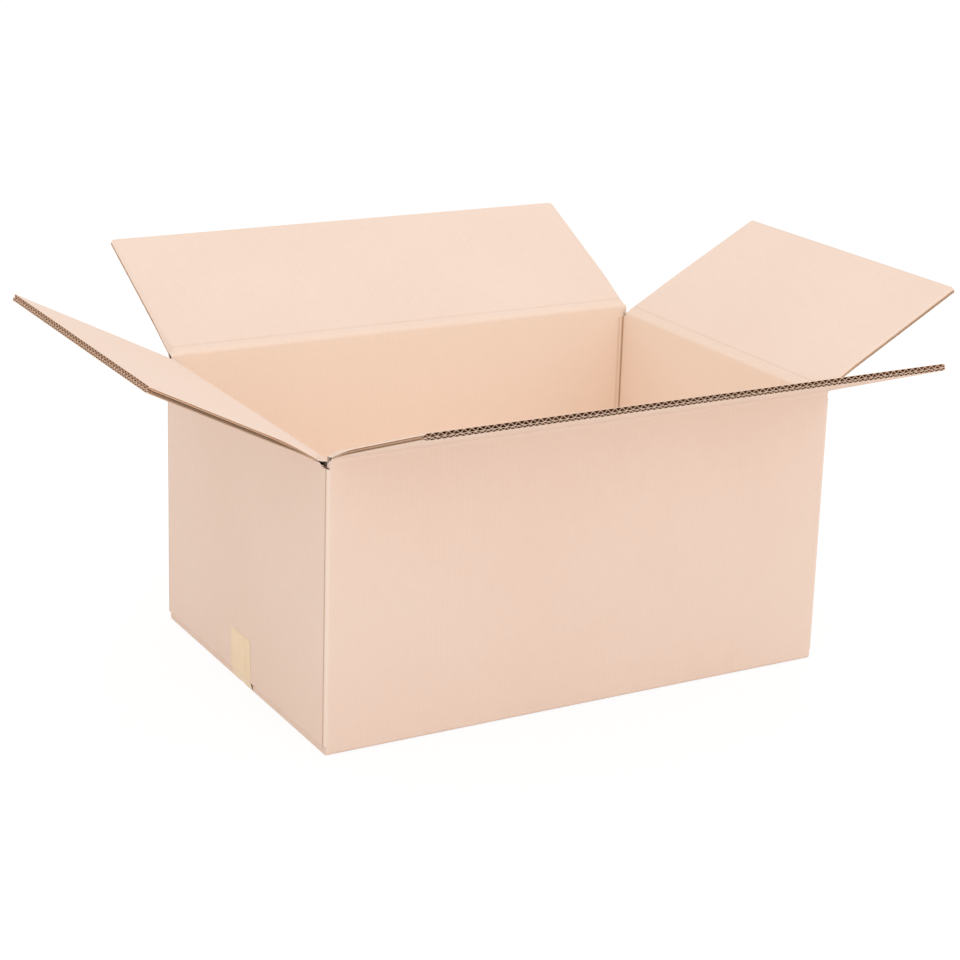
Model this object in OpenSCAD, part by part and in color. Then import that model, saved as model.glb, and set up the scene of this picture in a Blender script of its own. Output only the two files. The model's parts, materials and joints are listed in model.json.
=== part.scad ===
// Open shipping box folded from one sheet of double-wall corrugated board.
// Origin: middle of the underside. X runs along the long walls, Y from front to rear, Z up.

/* [Box] */
// Outside length, along X
box_l = 600; // [440:10:900]
// Outside width, along Y
box_w = 410; // [300:10:600]
// Height of the long walls up to their top creases
box_h = 310; // [160:10:600]

/* [Board] */
// Thickness of each of the three liners
liner_t = 0.4; // [0.3:0.05:0.6]
// Height of the coarse flute, on the inside of the box
coarse_h = 3.5; // [2.8:0.1:4.2]
// Length of one wave of the coarse flute
coarse_pitch = 7.95; // [6.5:0.05:9]
// Height of the fine flute, on the outside of the box
fine_h = 2.3; // [1.8:0.1:2.8]
// Length of one wave of the fine flute
fine_pitch = 6.35; // [5.5:0.05:7.5]
// Thickness of the fluted paper, measured across the board
medium_t = 0.5; // [0.35:0.05:0.8]
// Depth that the open flutes are cut into a free edge
flute_depth = 9; // [4:1:20]

/* [Folds] */
// Outside radius of the wall corners and of the bottom folds
fold_r = 4; // [2:0.5:5]
// Radius of the rolled crease that each top flap turns on
crease_r = 1.2; // [0.8:0.1:1.6]
// Running clearance at the creases and between folded layers
fold_clear = 0.3; // [0.2:0.05:0.5]

/* [Flaps] */
// Depth of every flap, from its crease to its free edge
flap_d = 200; // [100:5:200]
// Distance from a long flap's side edge to the outside of the box
long_flap_inset = 3; // [2.5:0.5:6]
// Distance from a short flap's side edge to the outside of the box
short_flap_inset = 12; // [10:1:20]
// Depth of the slots between the flaps, from the long flaps' crease
slot_depth = 10; // [9:1:16]
// Radius of the flaps' free corners
flap_corner_r = 3; // [1:0.5:8]
// Depth of the open channels along the side edges
edge_channel = 1.6; // [0.8:0.1:2]

/* [Pose] */
// How far the front flap leans out from upright
front_lean = 69; // [0:1:170]
// How far the rear flap leans out from upright
rear_lean = 64; // [0:1:170]
// How far the left flap leans out from upright
left_lean = 63; // [0:1:170]
// How far the right flap leans out from upright
right_lean = 61; // [0:1:170]

/* [Glued joint] */
// Width of the glue tab inside the left wall
tab_w = 38; // [25:1:50]
// Thickness of the pressed glue tab
tab_t = 4.5; // [3:0.5:6]
// Slope at the ends of the glue tab
tab_slope = 12; // [5:1:25]

/* [Tape] */
// Width of the tape that holds the bottom flaps
tape_w = 50; // [36:1:75]
// Thickness of the tape
tape_t = 0.2; // [0.1:0.05:0.4]
// Height that the tape reaches up the short walls
tape_up = 58; // [30:1:100]

/* [Hidden] */
$fn = 48;
kraft = [0.80, 0.64, 0.46];
kraft_inside = [0.86, 0.72, 0.56];
tape_buff = [0.78, 0.60, 0.36];
board_t = 3 * liner_t + coarse_h + fine_h;
// Height of a layer and the clearance above it
layer_t = board_t + fold_clear;
short_h = box_h - layer_t;
slot_z = box_h - slot_depth;
// The board rests on the tape, so its underside is one tape thickness up
board_z = tape_t;
short_board_z = board_z + layer_t;
low_slot_z = board_z + slot_depth;
long_span = box_l - 2 * long_flap_inset;
short_span = box_w - 2 * short_flap_inset;
// Offset of each mitre face, so that two of them lie one clearance apart
mitre_z = fold_clear / 2 * sqrt(2);
// Height at which the tape leaves a short wall and slants down to the seam
tape_turn_z = short_board_z + fold_r / 2;
coarse_mid = board_t - liner_t - coarse_h / 2;
fine_mid = liner_t + fine_h / 2;
// Gap that keeps the wave crests off the liners
crest_gap = 0.08;
// Length kept whole between an open flute and the flap's side edge
flute_margin = flap_corner_r + edge_channel;
cut = 1;

// One edge of the wave, from crest to trough, at height offset dz
function wave(n, pitch, half_h, dz) =
    [for (i = [0 : 2 * n]) [i * pitch / 2, (i % 2 == 0 ? half_h : -half_h) + dz]];

function reversed(list) = [for (i = [len(list) - 1 : -1 : 0]) list[i]];

// Open space of one row of flutes, seen on a free edge and centred on its span
module flute_row(span, height, pitch) {
    n = floor(span / pitch);
    half_h = height / 2 - medium_t / 2 - crest_gap;
    difference() {
        square([n * pitch, height], center = true);
        translate([-n * pitch / 2, 0])
            polygon(concat(wave(n, pitch, half_h, medium_t / 2), reversed(wave(n, pitch, half_h, -medium_t / 2))));
    }
}

// Both rows of flutes cut into the free edge of a sheet that stands up from Z = 0
module open_flutes(span, depth) {
    translate([0, 0, depth - flute_depth])
        linear_extrude(flute_depth + cut) {
            translate([0, coarse_mid]) flute_row(span - 2 * flute_margin, coarse_h, coarse_pitch);
            translate([0, fine_mid]) flute_row(span - 2 * flute_margin, fine_h, fine_pitch);
        }
}

// Channels between the liners along both side edges of a sheet
module side_channels(span, low, high) {
    for (side = [-1, 1])
        for (row = [[coarse_mid, coarse_h], [fine_mid, fine_h]])
            translate([side * span / 2, row[0], (low + high) / 2])
                cube([2 * edge_channel, row[1], high - low], center = true);
}

// Space that a crease takes out of a wall's top: the mitre and the seat of the rolled crease
module crease_cut() {
    circle(crease_r + fold_clear);
    polygon([[-cut, cut - mitre_z], [board_t + cut, -mitre_z - board_t - cut], [board_t + cut, cut], [-cut, cut]]);
}

// Section of a flap across its crease: outer face on Y = 0, inner face at Y = board_t
module flap_section() {
    difference() {
        square([board_t, flap_d]);
        polygon([[-cut, mitre_z - cut], [board_t + cut, mitre_z + board_t + cut], [board_t + cut, -cut], [-cut, -cut]]);
    }
    circle(crease_r);
}

// Outline of a flap seen from inside, with its two free corners rounded
module flap_outline(span) {
    hull() {
        translate([-span / 2, -crease_r]) square([span, crease_r]);
        for (side = [-1, 1])
            translate([side * (span / 2 - flap_corner_r), flap_d - flap_corner_r]) circle(flap_corner_r);
    }
}

// A flap standing upright on its crease, which lies on the X axis
module upright_flap(span) {
    difference() {
        intersection() {
            rotate([90, 0, 90]) linear_extrude(span, center = true) flap_section();
            rotate([90, 0, 0]) linear_extrude(4 * board_t, center = true) flap_outline(span);
        }
        open_flutes(span, flap_d);
        side_channels(span, board_t + 2 * crease_r, flap_d - flap_corner_r - edge_channel);
    }
}

// Puts a flap on its wall: turn is the wall's direction, lean is measured from upright
module on_wall(turn, reach, height, lean) {
    rotate([0, 0, turn]) translate([0, -reach, height]) rotate([lean, 0, 0]) children();
}

module flap_front() {
    color(kraft_inside) on_wall(0, box_w / 2, box_h, front_lean) upright_flap(long_span);
}

module flap_rear() {
    color(kraft_inside) on_wall(180, box_w / 2, box_h, rear_lean) upright_flap(long_span);
}

module flap_left() {
    color(kraft_inside) on_wall(-90, box_l / 2, short_h, left_lean) upright_flap(short_span);
}

module flap_right() {
    color(kraft_inside) on_wall(90, box_l / 2, short_h, right_lean) upright_flap(short_span);
}

// What a rounded outer fold takes off a square corner
module fold_round() {
    difference() {
        translate([-cut, -cut]) square(fold_r + cut);
        translate([fold_r, fold_r]) circle(fold_r);
    }
}

// Section of a wall with its bottom flap folded in, outer face on Y = 0
module panel_section(low, high) {
    difference() {
        union() {
            translate([0, low]) square([board_t, high - low]);
            translate([0, low]) square([flap_d, board_t]);
        }
        translate([0, low]) fold_round();
        translate([0, high]) crease_cut();
    }
}

// Four walls and their bottom flaps, between the slots
module panels() {
    for (turn = [0, 180])
        rotate([0, 0, turn]) translate([0, -box_w / 2, 0])
            rotate([90, 0, 90]) linear_extrude(long_span, center = true) panel_section(board_z, box_h);
    for (turn = [-90, 90])
        rotate([0, 0, turn]) translate([0, -box_l / 2, 0])
            rotate([90, 0, 90]) linear_extrude(short_span, center = true) panel_section(short_board_z, short_h);
}

// Ring of the four walls between the slots, with the rounded corner folds
module corner_folds() {
    difference() {
        translate([0, 0, low_slot_z]) linear_extrude(slot_z - low_slot_z) difference() {
            hull()
                for (x = [-1, 1])
                    for (y = [-1, 1])
                        translate([x * (box_l / 2 - fold_r), y * (box_w / 2 - fold_r)]) circle(fold_r);
            square([box_l - 2 * board_t, box_w - 2 * board_t], center = true);
        }
        for (turn = [-90, 90])
            rotate([0, 0, turn]) translate([0, -box_l / 2, short_h])
                rotate([90, 0, 90]) linear_extrude(short_span + 2 * fold_clear, center = true) crease_cut();
    }
}

// Tab of the rear wall, folded round the corner and glued inside the left wall
module glue_tab() {
    low = short_board_z + layer_t;
    high = short_h - layer_t;
    rise = tab_w * tan(tab_slope);
    translate([-box_l / 2 + board_t, box_w / 2 - board_t, 0])
        rotate([90, 0, 90]) linear_extrude(tab_t)
            polygon([[0, low], [-tab_w, low + rise], [-tab_w, high - rise], [0, high]]);
}

module box_body() {
    color(kraft) union() {
        panels();
        corner_folds();
        glue_tab();
    }
}

// The tape seen from the front, laid under the seam and up both short walls
module tape_path() {
    end_x = box_l / 2;
    foot_x = box_l / 2 - long_flap_inset;
    polygon(concat(
        [[-end_x - tape_t, tape_up], [-end_x - tape_t, tape_turn_z], [-foot_x - tape_t, 0]],
        [[foot_x + tape_t, 0], [end_x + tape_t, tape_turn_z], [end_x + tape_t, tape_up]],
        [[end_x, tape_up], [end_x, tape_turn_z], [foot_x, tape_t]],
        [[-foot_x, tape_t], [-end_x, tape_turn_z], [-end_x, tape_up]]));
}

module bottom_tape() {
    color(tape_buff) rotate([90, 0, 0]) linear_extrude(tape_w, center = true) tape_path();
}

box_body();
flap_front();
flap_rear();
flap_left();
flap_right();
bottom_tape();
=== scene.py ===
"""Dresses the open double-wall shipping box: fluted flaps, folded liners, tape, paper, studio and camera."""

from __future__ import annotations

import json
import logging
import math
from dataclasses import dataclass
from enum import Enum
from typing import Callable

import bmesh
import bpy
from mathutils import Matrix, Vector, noise

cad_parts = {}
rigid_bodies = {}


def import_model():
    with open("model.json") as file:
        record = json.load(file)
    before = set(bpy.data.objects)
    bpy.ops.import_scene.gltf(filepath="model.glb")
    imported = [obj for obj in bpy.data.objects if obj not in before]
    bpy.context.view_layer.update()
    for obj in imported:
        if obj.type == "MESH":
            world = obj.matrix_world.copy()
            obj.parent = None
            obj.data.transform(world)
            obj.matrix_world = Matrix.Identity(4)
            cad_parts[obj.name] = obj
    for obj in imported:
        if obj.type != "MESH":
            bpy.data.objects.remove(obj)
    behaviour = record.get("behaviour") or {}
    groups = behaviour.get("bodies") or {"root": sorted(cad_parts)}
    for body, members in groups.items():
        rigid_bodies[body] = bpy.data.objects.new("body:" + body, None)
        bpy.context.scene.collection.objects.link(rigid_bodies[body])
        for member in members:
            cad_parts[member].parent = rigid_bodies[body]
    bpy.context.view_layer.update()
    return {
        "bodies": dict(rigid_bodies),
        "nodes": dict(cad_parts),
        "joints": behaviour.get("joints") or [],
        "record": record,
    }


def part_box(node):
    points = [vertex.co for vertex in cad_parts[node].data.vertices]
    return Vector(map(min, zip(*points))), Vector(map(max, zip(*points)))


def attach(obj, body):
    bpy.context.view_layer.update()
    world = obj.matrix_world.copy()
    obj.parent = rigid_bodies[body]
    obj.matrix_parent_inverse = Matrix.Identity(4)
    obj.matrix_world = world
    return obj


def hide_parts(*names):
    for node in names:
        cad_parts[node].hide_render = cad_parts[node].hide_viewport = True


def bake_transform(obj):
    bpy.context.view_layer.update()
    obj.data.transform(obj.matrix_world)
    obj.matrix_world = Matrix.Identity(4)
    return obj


LOG = logging.getLogger("shipping_box")
MM = 0.001
FLAP_DEPTH = 200 * MM
LAMP_TARGET = (0, 0, 0.15)


class Side(Enum):
    """The four sides of the box: body, CAD node and how far the side is turned from the front."""

    FRONT = ("front_flap", "flap_front", 0)
    REAR = ("rear_flap", "flap_rear", 180)
    LEFT = ("left_flap", "flap_left", -90)
    RIGHT = ("right_flap", "flap_right", 90)

    @property
    def body(self) -> str:
        """Name of the moving body."""
        return self.value[0]

    @property
    def node(self) -> str:
        """Name of the CAD node of the top flap."""
        return self.value[1]

    @property
    def turn(self) -> float:
        """Turn about Z from the front side, in radians."""
        return math.radians(self.value[2])

    @property
    def is_long(self) -> bool:
        """True for the front and rear sides."""
        return self in (Side.FRONT, Side.REAR)


class Slot(Enum):
    """Material slots of a board mesh, in order."""

    INSIDE = 0
    OUTSIDE = 1
    CELL = 2
    CUT = 3
    SIDE = 4


@dataclass(frozen=True)
class Board:
    """Double-wall board: three liners with a coarse flute inside and a fine flute outside."""

    liner: float = 0.4 * MM
    coarse_height: float = 3.5 * MM
    coarse_pitch: float = 7.95 * MM
    fine_height: float = 2.3 * MM
    fine_pitch: float = 6.35 * MM
    medium: float = 0.46 * MM

    @property
    def thickness(self) -> float:
        """Whole thickness of the board."""
        return 3 * self.liner + self.coarse_height + self.fine_height

    @property
    def coarse_mid(self) -> float:
        """Height of the coarse flute's middle above the outer face."""
        return self.thickness - self.liner - self.coarse_height / 2

    @property
    def fine_mid(self) -> float:
        """Height of the fine flute's middle above the outer face."""
        return self.liner + self.fine_height / 2


@dataclass(frozen=True)
class Layout:
    """Where the creases lie and how far each flap leans out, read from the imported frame."""

    joints: dict

    @classmethod
    def from_frame(cls, frame: dict) -> "Layout":
        """Reads the hinges of the record.


        Returns:
            The layout.
        """
        return cls({j["child"]: j for j in frame["record"]["behaviour"]["joints"]})

    def crease(self, side: Side) -> Vector:
        """Middle of a side's top crease."""
        return Vector(self.joints[side.body]["pos_m"])

    def lean(self, side: Side) -> float:
        """Lean of a flap from upright at rest, in radians."""
        closed = self.joints[side.body]["range_deg"][0]
        return math.radians(-closed - 90)

    def side_matrix(self, side: Side) -> Matrix:
        """Matrix from a side's own frame (X along, Y inward, Z up) to the row frame."""
        return Matrix.Translation(self.crease(side)) @ Matrix.Rotation(side.turn, 4, "Z")

    def flap_matrix(self, side: Side) -> Matrix:
        """Matrix from an upright flap's frame to its place at rest."""
        return self.side_matrix(side) @ Matrix.Rotation(self.lean(side), 4, "X")


def smooth(edge0: float, edge1: float, value: float) -> float:
    """Smooth step.

    Args:
        edge0: Value at which the step leaves 0.
        edge1: Value at which it reaches 1.
        value: The value.

    Returns:
        A share from 0 to 1.
    """
    t = min(1.0, max(0.0, (value - edge0) / (edge1 - edge0)))
    return t * t * (3 - 2 * t)


def flap_span(side: Side) -> float:
    """Length of a top flap's CAD node along its crease.

    Args:
        side: Side of the box.

    Returns:
        The length.
    """
    low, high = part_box(side.node)
    return high[0] - low[0] if side.is_long else high[1] - low[1]


def finish_mesh(
    name: str, bm: bmesh.types.BMesh, materials: list, shade_smooth: bool = False
) -> bpy.types.Object:
    """Turns a bmesh into an object at the origin.

    Args:
        name: Name of the piece.
        bm: The mesh, in the row frame.
        materials: Materials by slot.
        shade_smooth: True for a rounded surface.

    Returns:
        The new object.
    """
    bmesh.ops.recalc_face_normals(bm, faces=bm.faces[:])
    mesh = bpy.data.meshes.new(name)
    bm.to_mesh(mesh)
    bm.free()
    for material in materials:
        mesh.materials.append(material)
    if shade_smooth:
        mesh.polygons.foreach_set("use_smooth", [True] * len(mesh.polygons))
    piece = bpy.data.objects.new(name, mesh)
    bpy.context.scene.collection.objects.link(piece)
    LOG.info("%s: %d faces", name, len(mesh.polygons))
    return piece


@dataclass(frozen=True)
class Pinch:
    """How the board is squeezed thin along its cut side edges, most of all next to the crease."""

    thickness: float
    span: float
    kept: float
    kept_at_crease: float = 0.22
    reach: float = 4.5 * MM
    settles: float = 60 * MM
    anchor_at_crease: float = 0.1

    def press(self, x: float, y: float, z: float) -> float:
        """Moves a place across the board.

        Args:
            x: Place along the crease.
            y: Place across the board.
            z: Place up from the crease.

        Returns:
            The pressed place across the board.
        """
        near = smooth(self.span / 2 - self.reach, self.span / 2, abs(x))
        risen = smooth(0, self.settles, z)
        kept = 1 - near * (1 - self.kept_at_crease - (self.kept - self.kept_at_crease) * risen)
        anchor = self.thickness / 2 * (self.anchor_at_crease + (1 - self.anchor_at_crease) * risen)
        return anchor + (y - anchor) * kept


@dataclass(frozen=True)
class Paper:
    """One paper of the board: its place across the board, its thickness and how it is cut up.

    The place is a function of (x, z). The two slots are for the lower and the upper face.
    """

    place: Callable[[float, float], float]
    thickness: float
    start: float
    columns: int
    rows: int
    lower: Slot
    upper: Slot
    waved: bool = False


@dataclass
class SheetCutter:
    """Builds an upright sheet of board: X along its crease, Y from outer to inner face, Z up."""

    board: Board
    span: float
    depth: float
    corner: float = 3 * MM
    bow: float = 0.0
    seed: float = 0.0
    kept: float = 0.6

    PRESSED_UP_TO = 14 * MM
    ROUND_UP_FROM = 30 * MM
    PRESSED = 0.45
    CRUSHED = 0.3
    WAVE_WANDER = 0.07
    CREST_GAP = 0.02 * MM
    FINE_PHASE = 0.31
    RAG = 0.35 * MM
    RAGS_PER_METRE = 240
    RAGS_APART = 900
    RAGGED_BORDER = 1.5 * MM
    FLAT_UP_TO = 14 * MM
    BOWED_FROM = 70 * MM
    BOW_WANDER = 0.4
    STEPS_PER_WAVE = 10
    CORE_ROWS = 6
    EDGE_CROWDING = 1.8
    MIDDLE_ROWS = 12
    LINER_COLUMNS = 160
    LINER_ROWS = 40

    def top_at(self, x: float) -> float:
        """Height of the free edge, lower where the free corners are rounded.

        Args:
            x: Place along the crease.

        Returns:
            The height.
        """
        past = abs(x) - (self.span / 2 - self.corner)
        if past <= 0:
            return self.depth
        return self.depth - self.corner + math.sqrt(max(0.0, self.corner**2 - past**2))

    @property
    def pinch(self) -> Pinch:
        """The squeeze at the side edges."""
        return Pinch(self.board.thickness, self.span, self.kept)

    def bend(self, x: float, z: float) -> float:
        """Gentle bow of the sheet across its face, nothing at the crease and the free edge.

        Args:
            x: Place along the crease.
            z: Place up from the crease.

        Returns:
            How far the sheet is off its flat place.
        """
        along = 1 - (2 * x / self.span) ** 2
        wander = noise.noise(Vector((x * 6, z * 6, self.seed)))
        across = smooth(self.FLAT_UP_TO, self.BOWED_FROM, z) * math.sin(math.pi * min(1.0, z / self.depth))
        return self.bow * (along + self.BOW_WANDER * wander) * across

    def point(self, paper: Paper, u: float, w: float) -> Vector:
        """Place of a grid point on the lower face of a paper.

        Args:
            paper: The paper.
            u: Place along the crease, -0.5 to 0.5.
            w: Place from the crease to the free edge, 0 to 1.

        Returns:
            The point.
        """
        x = self.span * u if paper.waved else self.span / 2 * math.sin(math.pi * u)
        top = self.top_at(x)
        z = paper.start + (top - paper.start) * (w**self.EDGE_CROWDING if paper.waved else w)
        y = self.pinch.press(x, paper.place(x, z), z)
        layer = 0.5 + paper.place(0, z) * self.RAGS_APART
        rag = self.RAG * noise.noise(Vector((z * self.RAGS_PER_METRE, self.seed, layer)))
        near = smooth(self.span / 2 - self.RAGGED_BORDER, self.span / 2, abs(x))
        return Vector((x - math.copysign(abs(rag) * near, x), y + self.bend(x, z), z))

    def lay(self, bm: bmesh.types.BMesh, paper: Paper) -> None:
        """Adds one paper as a bent slab.

        Args:
            bm: Mesh to add to.
            paper: The paper.
        """
        made = bmesh.ops.create_grid(bm, x_segments=paper.columns, y_segments=paper.rows, size=0.5)
        verts = made["verts"]
        for v in verts:
            v.co = self.point(paper, v.co.x, v.co.y + 0.5)
        lower = list({f for v in verts for f in v.link_faces})
        for f in lower:
            f.material_index = paper.upper.value
        grown = bmesh.ops.extrude_face_region(bm, geom=lower, use_keep_orig=True)
        upper = [g for g in grown["geom"] if isinstance(g, bmesh.types.BMFace)]
        moved = [g for g in grown["geom"] if isinstance(g, bmesh.types.BMVert)]
        bmesh.ops.translate(bm, verts=moved, vec=(0, paper.thickness, 0))
        for f in {f for v in moved for f in v.link_faces} - set(upper):
            f.material_index = self.border_slot(f).value
        for f in lower:
            f.material_index = paper.lower.value

    def border_slot(self, face: bmesh.types.BMFace) -> Slot:
        """Picks the slot of a paper's border: the side edges run along the flutes and are browner.

        Args:
            face: A border face.

        Returns:
            Its slot.
        """
        wide = max(v.co.x for v in face.verts) - min(v.co.x for v in face.verts)
        high = max(v.co.z for v in face.verts) - min(v.co.z for v in face.verts)
        return Slot.SIDE if high > wide else Slot.CUT

    def wave(
        self, middle: float, height: float, pitch: float, phase: float
    ) -> Callable[[float, float], float]:
        """Place of a fluted paper across the board.

        Args:
            middle: Middle of the flute across the board.
            height: Clear height between the liners.
            pitch: Length of one wave.
            phase: Shift of the wave, in waves.

        Returns:
            A function of (x, z).
        """
        swing = (height - self.board.medium) / 2 - self.CREST_GAP

        def place(x: float, z: float) -> float:
            """Place of the paper's lower face across the board at (x, z)."""
            wander = self.WAVE_WANDER * noise.noise(Vector((x * 22, self.seed, phase)))
            dent = noise.noise(Vector((x * 25, self.seed + 5, phase)))
            crushed = self.CRUSHED * smooth(0.3, 0.55, dent)
            pressed = self.PRESSED * (1 - smooth(self.PRESSED_UP_TO, self.ROUND_UP_FROM, z))
            angle = 2 * math.pi * (x / pitch + phase + wander)
            rise = swing * (1 - crushed) * (1 - pressed) * math.cos(angle)
            return middle + rise - self.board.medium / 2

        return place

    def papers(self, core_start: Callable[[float], float], face_start: float) -> list[Paper]:
        """Lists the five papers from the outer liner to the inner one.

        Args:
            core_start: Height at which a hidden paper starts, by its place across the board.
            face_start: Height at which the two outer liners start.

        Returns:
            The papers.
        """
        b = self.board
        columns, rows = self.LINER_COLUMNS, self.LINER_ROWS
        outer, middle, inner = 0.0, b.liner + b.fine_height, b.thickness - b.liner
        fine = self.wave(b.fine_mid, b.fine_height, b.fine_pitch, self.FINE_PHASE)
        fine_start, fine_steps = core_start(b.fine_mid), self.wave_steps(b.fine_pitch)
        coarse = self.wave(b.coarse_mid, b.coarse_height, b.coarse_pitch, 0.0)
        coarse_start, coarse_steps = core_start(b.coarse_mid), self.wave_steps(b.coarse_pitch)
        cell = Slot.CELL
        return [
            Paper(lambda x, z: outer, b.liner, face_start, columns, rows, Slot.OUTSIDE, cell),
            Paper(fine, b.medium, fine_start, fine_steps, self.CORE_ROWS, cell, cell, True),
            Paper(lambda x, z: middle, b.liner, core_start(middle), columns, self.MIDDLE_ROWS, cell, cell),
            Paper(coarse, b.medium, coarse_start, coarse_steps, self.CORE_ROWS, cell, cell, True),
            Paper(lambda x, z: inner, b.liner, face_start, columns, rows, cell, Slot.INSIDE),
        ]

    def wave_steps(self, pitch: float) -> int:
        """Number of segments along a fluted paper."""
        return int(self.span / pitch * self.STEPS_PER_WAVE)

    def build(self, core_start: Callable[[float], float], face_start: float) -> bmesh.types.BMesh:
        """Builds all five papers and marks how deep each point lies behind the cut edges, for the cells'
        painted shade.

        Args:
            core_start: Height at which a hidden paper starts, by its place across the board.
            face_start: Height at which the two outer liners start.

        Returns:
            The mesh in the upright frame.
        """
        bm = bmesh.new()
        depth = bm.verts.layers.float.new("depth")
        for paper in self.papers(core_start, face_start):
            self.lay(bm, paper)
        for v in bm.verts:
            v[depth] = max(0.0, min(self.top_at(v.co.x) - v.co.z, self.span / 2 - abs(v.co.x)))
        return bm


@dataclass
class TopFlap:
    """One top flap: liners and fluted papers, standing on its crease and leaning out as the CAD flap does."""

    side: Side
    layout: Layout
    board: Board
    bow: float
    kept: float

    LINER_START = 10.5 * MM
    CORE_GAP = 2.4 * MM

    def build(self, materials: list) -> bpy.types.Object:
        """Builds the flap in its place.

        Args:
            materials: Materials by slot.

        Returns:
            The piece, riding on its body and standing for the CAD node.
        """
        span, seed = flap_span(self.side), self.side.turn
        cutter = SheetCutter(self.board, span, FLAP_DEPTH, bow=self.bow, seed=seed, kept=self.kept)
        bm = cutter.build(lambda y: y + self.CORE_GAP, self.LINER_START)
        bmesh.ops.transform(bm, matrix=self.layout.flap_matrix(self.side), verts=bm.verts[:])
        piece = finish_mesh(f"{self.side.body}_sheet", bm, materials)
        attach(piece, self.side.body)
        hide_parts(self.side.node)
        return piece


@dataclass(frozen=True)
class FoldShape:
    """How the liner runs over a crease: where it bends off the wall and the flap, and how roundly."""

    inside: bool
    reach: float
    wall_bend: float
    flap_bend: float
    pull: float
    groove_at: float
    groove_depth: float
    groove_width: float


INNER_FOLD = FoldShape(
    inside=True,
    reach=12 * MM,
    wall_bend=0.5 * MM,
    flap_bend=3 * MM,
    pull=3.2 * MM,
    groove_at=5.4 * MM,
    groove_depth=0.5 * MM,
    groove_width=1.3 * MM,
)
OUTER_FOLD = FoldShape(
    inside=False,
    reach=12 * MM,
    wall_bend=3.4 * MM,
    flap_bend=3.4 * MM,
    pull=1.3 * MM,
    groove_at=7.5 * MM,
    groove_depth=0.14 * MM,
    groove_width=1.6 * MM,
)


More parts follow.
